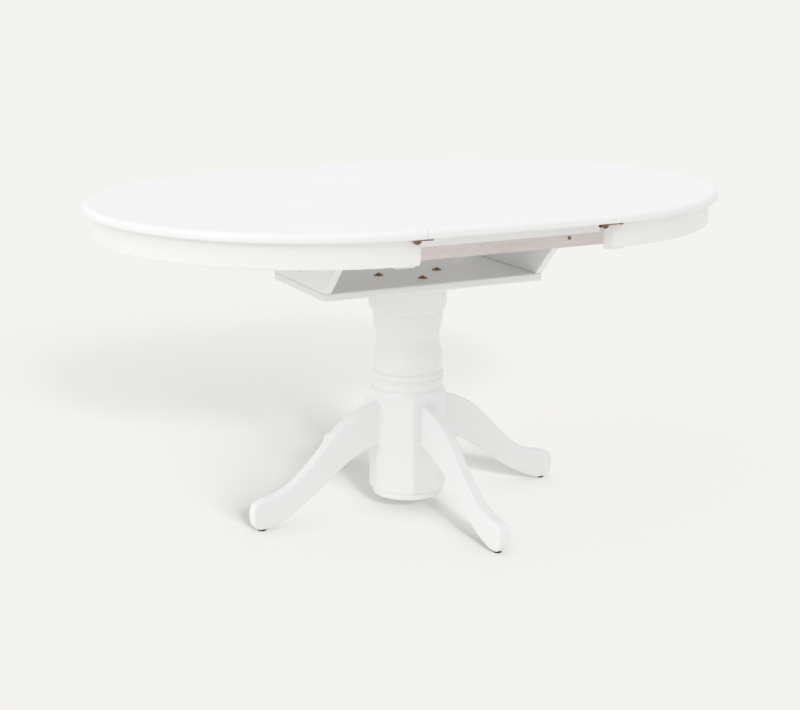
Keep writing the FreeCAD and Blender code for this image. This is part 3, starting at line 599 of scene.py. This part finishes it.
def insets(outline):
    """For each point of a closed outline, the way inwards, scaled to move both its edges by 1."""
    area = sum(a.x * b.y - b.x * a.y for a, b in zip(outline, outline[1:] + outline[:1]))
    turn = math.copysign(1, area)
    ways = []
    for before, here, after in zip(outline[-1:] + outline[:-1], outline, outline[1:] + outline[:1]):
        edges = (here - before, after - here)
        normals = [Vector((-edge.y, edge.x)).normalized() * turn for edge in edges]
        middle = (normals[0] + normals[1]).normalized()
        ways.append(middle / max(middle.dot(normals[0]), 0.5))
    return ways


def leg(where, direction):
    """Scrolled slab leg, its long edges rounded over."""
    outline = leg_outline()
    ways = insets(outline)
    bm = bmesh.new()
    rows = []
    bends = [math.radians(angle) for angle in range(0, 91, 18)]
    for side, bend in [(-1, bend) for bend in reversed(bends)] + [(1, bend) for bend in bends]:
        inset = LEG_EASE * (1 - math.cos(bend))
        across = side * (LEG_THICKNESS / 2 - LEG_EASE + LEG_EASE * math.sin(bend))
        points = [p + way * inset for p, way in zip(outline, ways)]
        rows.append([bm.verts.new((p.x, across, p.y)) for p in points])
    net(bm, rows, closed=True)
    bm.faces.new(rows[0])
    bm.faces.new(rows[-1])
    grain = "x" if direction % 180 == 0 else "y"
    add_piece(
        f"scroll_leg_{where}", bm, PAINT[grain], "pedestal", [f"leg_{where}"], direction + PEDESTAL_TURN, 60
    )


# ---------------------------------------------------------------- the table
for side in HALF_TURN:
    half_top(side)
    apron(side)
    end_blocks(side)
    for where in ("outer", "inner"):
        moving_slide(side, where)
    trough_end(side)
for where, turn in (("front", 0), ("back", 180)):
    leaf_half(where, turn)
    fixed_rail(where, turn)
trough_board()
column()
for where, direction in (("right", 0), ("back", 90), ("left", 180), ("front", 270)):
    leg(where, direction)

# ---------------------------------------------------------------- hardware
HARDWARE_EASE = 0.0003


def finish_hardware():
    """Every CAD node that no piece replaces keeps its mesh, with a finish and softened edges."""
    replaced = {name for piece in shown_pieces() for name in piece.get("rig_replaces", [])}
    for name, thing in frame["nodes"].items():
        if name in replaced:
            continue
        thing.data.materials.clear()
        thing.data.materials.append(FINISH[SLOT_OF[name]])
        soften = thing.modifiers.new("softened_edges", "BEVEL")
        soften.width = HARDWARE_EASE
        soften.segments = 2
        soften.limit_method = "ANGLE"
        soften.angle_limit = math.radians(40)
        soften.harden_normals = True


finish_hardware()


# ---------------------------------------------------------------- floor, light and camera
CAMERA_PLACE = (-1.6488, -3.2848, 1.2697)
CAMERA_TURN = (77.67, 0.14, -25.97)
BACKDROP = (0.905, 0.896, 0.863)
WORLD_STRENGTH = 0.915
SHADOW_SUNS = [  # azimuth, elevation, width, share of the floor's brightness
    (-9, 26, 6, 0.14),
    (-1, 14, 24, 0.2),
]
TABLE_SUNS = [  # azimuth, elevation, width, strength
    (-75, 22, 20, 0.3),
    (-60, 35, 30, 0.2),
    (-90, 60, 40, 0.27),
]
SHADOW_ALBEDO = 0.1
SHADOW_FADES_OVER = 2.6


def scaled(colour, factor):
    """A colour made darker or lighter."""
    return tuple(factor * channel for channel in colour)


def floor():
    """A wide pale floor that glows; the cast shadow on it fades with distance behind the table.

    Where the suns that cast the shadow light it, the floor glows less, so that it stays even. Near the
    table's feet and column the glow is darkened by an ambient occlusion term, a painted contact shade.
    """
    bm = bmesh.new()
    bmesh.ops.create_grid(bm, x_segments=8, y_segments=8, size=80)
    mesh = bpy.data.meshes.new("floor")
    bm.to_mesh(mesh)
    bm.free()
    material, tree, shader = empty_material("pale_floor")
    place = node(tree, "ShaderNodeTexCoord").outputs["Object"]
    back = node(tree, "ShaderNodeSeparateXYZ", {"Vector": place}).outputs["Y"]
    feeds = {"Value": back, "From Max": SHADOW_FADES_OVER, "To Min": 1.0, "To Max": 0.0}
    reach = node(tree, "ShaderNodeMapRange", feeds).outputs["Result"]
    spill = sum(power * math.sin(math.radians(elevation)) for _, elevation, _, power in TABLE_SUNS) / math.pi
    lit = SHADOW_ALBEDO * (WORLD_STRENGTH + spill) + sum(share for *_, share in SHADOW_SUNS)
    diffuse = ramp(tree, reach, (0, (0, 0, 0)), (1, scaled(BACKDROP, SHADOW_ALBEDO)))
    glow = ramp(tree, reach, (0, BACKDROP), (1, scaled(BACKDROP, 1 - lit)))
    # Painted contact shade: the floor's glow is darkened down to 0.6 within 0.11 m of the table's parts.
    painted_contact_shade = node(tree, "ShaderNodeAmbientOcclusion", {"Distance": 0.11}, samples=8).outputs["AO"]
    glow = multiplied(tree, glow, ramp(tree, painted_contact_shade, (0.0, (0.6, 0.6, 0.6)), (0.9, (1, 1, 1))))
    tree.links.new(diffuse, shader.inputs["Base Color"])
    tree.links.new(glow, shader.inputs["Emission Color"])
    shader.inputs["Emission Strength"].default_value = 1.0
    shader.inputs["Roughness"].default_value = 1.0
    shader.inputs["Specular IOR Level"].default_value = 0.0
    mesh.materials.append(material)
    thing = bpy.data.objects.new("floor", mesh)
    bpy.context.scene.collection.objects.link(thing)
    thing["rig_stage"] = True
    return thing


def world():
    """An even, nearly white surround."""
    surround = bpy.data.worlds.new("studio")
    surround.use_nodes = True
    background = surround.node_tree.nodes["Background"]
    background.inputs["Color"].default_value = (0.985, 0.99, 1.0, 1)
    background.inputs["Strength"].default_value = WORLD_STRENGTH
    bpy.context.scene.world = surround


def sun(name, azimuth, elevation, strength, width, only_on=()):
    """A soft distant light that comes from an azimuth, 0 at the front and 90 at the right."""
    light = bpy.data.lights.new(name, "SUN")
    light.energy = strength
    light.angle = math.radians(width)
    lamp = bpy.data.objects.new(name, light)
    a, e = math.radians(azimuth), math.radians(elevation)
    source = Vector((math.sin(a) * math.cos(e), -math.cos(a) * math.cos(e), math.sin(e)))
    lamp.rotation_mode = "QUATERNION"
    lamp.rotation_quaternion = source.to_track_quat("Z", "Y")
    bpy.context.scene.collection.objects.link(lamp)
    if only_on:
        lit = bpy.data.collections.new(f"{name}_falls_on")
        for thing in only_on:
            lit.objects.link(thing)
        lamp.light_linking.receiver_collection = lit


def camera():
    data = bpy.data.cameras.new("camera")
    data.sensor_width = 36
    data.lens = 71.87
    data.shift_x = 0.0146
    data.shift_y = -0.0516
    eye = bpy.data.objects.new("camera", data)
    eye.location = CAMERA_PLACE
    eye.rotation_euler = [math.radians(angle) for angle in CAMERA_TURN]
    bpy.context.scene.collection.objects.link(eye)
    bpy.context.scene.camera = eye


ground = floor()
world()
for azimuth, elevation, width, share in SHADOW_SUNS:
    energy = share * math.pi / (SHADOW_ALBEDO * math.sin(math.radians(elevation)))
    sun(f"floor_shadow_{elevation}", azimuth, elevation, energy, width, only_on=[ground])
for azimuth, elevation, width, energy in TABLE_SUNS:
    sun(f"left_light_{elevation}", azimuth, elevation, energy, width)
camera()
bpy.context.scene.view_settings.view_transform = "Standard"
